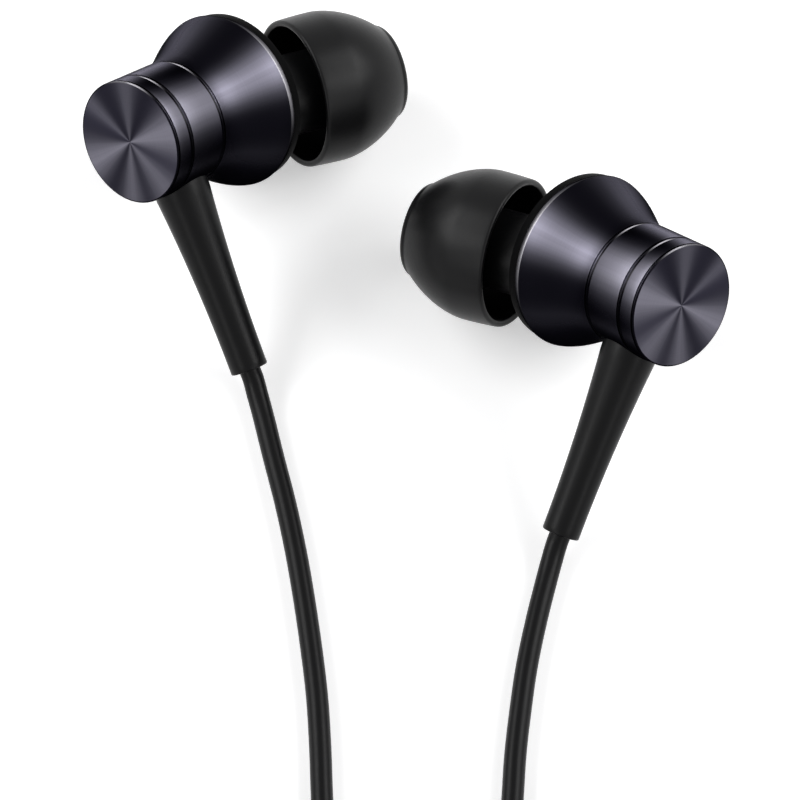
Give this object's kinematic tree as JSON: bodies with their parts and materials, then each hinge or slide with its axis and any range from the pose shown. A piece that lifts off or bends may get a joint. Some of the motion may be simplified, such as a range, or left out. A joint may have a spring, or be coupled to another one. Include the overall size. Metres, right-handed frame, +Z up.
{
  "type": "wired earphones",
  "caption": "In-ear earphones with turned metal housings, angled nozzles, soft ear tips and tapered boots on a forked cable that ends in a slim headphone plug.",
  "frame": {"origin": "bottom centre of the pair of earpieces as they lie on a table, without the cable, its coils and its plug", "axes": "+X from the left earpiece to the right one, +Y away from the cable, +Z up from the table"},
  "size_m": [0.0545, 0.17, 0.0178],
  "materials": {
    "housing_metal": "satin anodised, spun and brushed",
    "nozzle_plastic": "moulded black plastic",
    "mesh_steel": "fine woven steel",
    "damper_foam": "open-cell foam",
    "driver_plastic": "moulded black plastic",
    "driver_steel": "zinc-plated steel",
    "magnet": "nickel-plated magnet",
    "coil_copper": "enamelled copper",
    "film": "thin polymer film",
    "paper": "acoustic paper",
    "board": "green circuit board",
    "rubber": "satin black elastomer",
    "silicone": "matte black silicone",
    "cord_jacket": "satin black cord jacket",
    "tie_plastic": "soft black plastic",
    "contact_gold": "gold-plated brass",
    "contact_plastic": "black insulating plastic"
  },
  "bodies": {
    "main": {"left_rear_cap": "housing_metal", "left_rear_sleeve": "housing_metal", "left_bell": "housing_metal", "left_nozzle": "nozzle_plastic", "left_nozzle_mesh": "mesh_steel", "left_damper": "damper_foam", "left_driver_frame": "driver_plastic", "left_tuning_paper": "paper", "left_yoke": "driver_steel", "left_magnet": "magnet", "left_pole_plate": "driver_steel", "left_driver_cover": "driver_steel", "left_gasket": "damper_foam", "left_terminal_board": "board", "left_lead_wires": "coil_copper", "left_boot": "rubber", "left_cord_knot": "cord_jacket", "right_rear_cap": "housing_metal", "right_rear_sleeve": "housing_metal", "right_bell": "housing_metal", "right_nozzle": "nozzle_plastic", "right_nozzle_mesh": "mesh_steel", "right_damper": "damper_foam", "right_driver_frame": "driver_plastic", "right_tuning_paper": "paper", "right_yoke": "driver_steel", "right_magnet": "magnet", "right_pole_plate": "driver_steel", "right_driver_cover": "driver_steel", "right_gasket": "damper_foam", "right_terminal_board": "board", "right_lead_wires": "coil_copper", "right_boot": "rubber", "right_cord_knot": "cord_jacket", "left_cord": "cord_jacket", "left_coil": "cord_jacket", "left_cord_end": "cord_jacket", "right_cord": "cord_jacket", "right_coil": "cord_jacket", "right_cord_end": "cord_jacket", "splitter": "housing_metal", "main_cord": "cord_jacket", "main_coil": "cord_jacket", "main_cord_end": "cord_jacket", "coil_ties": "tie_plastic", "plug_boot": "rubber", "plug_shell": "housing_metal", "plug_sleeve": "contact_gold", "plug_ring": "contact_gold", "plug_tip": "contact_gold", "plug_insulator": "contact_plastic"},
    "left_tip": {"left_ear_tip": "silicone"},
    "right_tip": {"right_ear_tip": "silicone"},
    "left_diaphragm": {"left_diaphragm": "film", "left_voice_coil": "coil_copper"},
    "right_diaphragm": {"right_diaphragm": "film", "right_voice_coil": "coil_copper"}
  },
  "joints": [
    {"name": "left_tip_pull", "type": "slide", "parent": "main", "child": "left_tip", "axis": [0.8744, 0.4077, -0.2631], "range_m": [0, 0.0065]},
    {"name": "right_tip_pull", "type": "slide", "parent": "main", "child": "right_tip", "axis": [-0.8744, 0.4077, -0.2631], "range_m": [0, 0.0065]},
    {"name": "left_diaphragm_stroke", "type": "slide", "parent": "main", "child": "left_diaphragm", "axis": [0.6322, 0.6105, -0.4772], "range_m": [-0.0002, 0.0002], "stiffness_N_per_m": 50},
    {"name": "right_diaphragm_stroke", "type": "slide", "parent": "main", "child": "right_diaphragm", "axis": [-0.6322, 0.6105, -0.4772], "range_m": [-0.0002, 0.0002], "stiffness_N_per_m": 50}
  ]
}
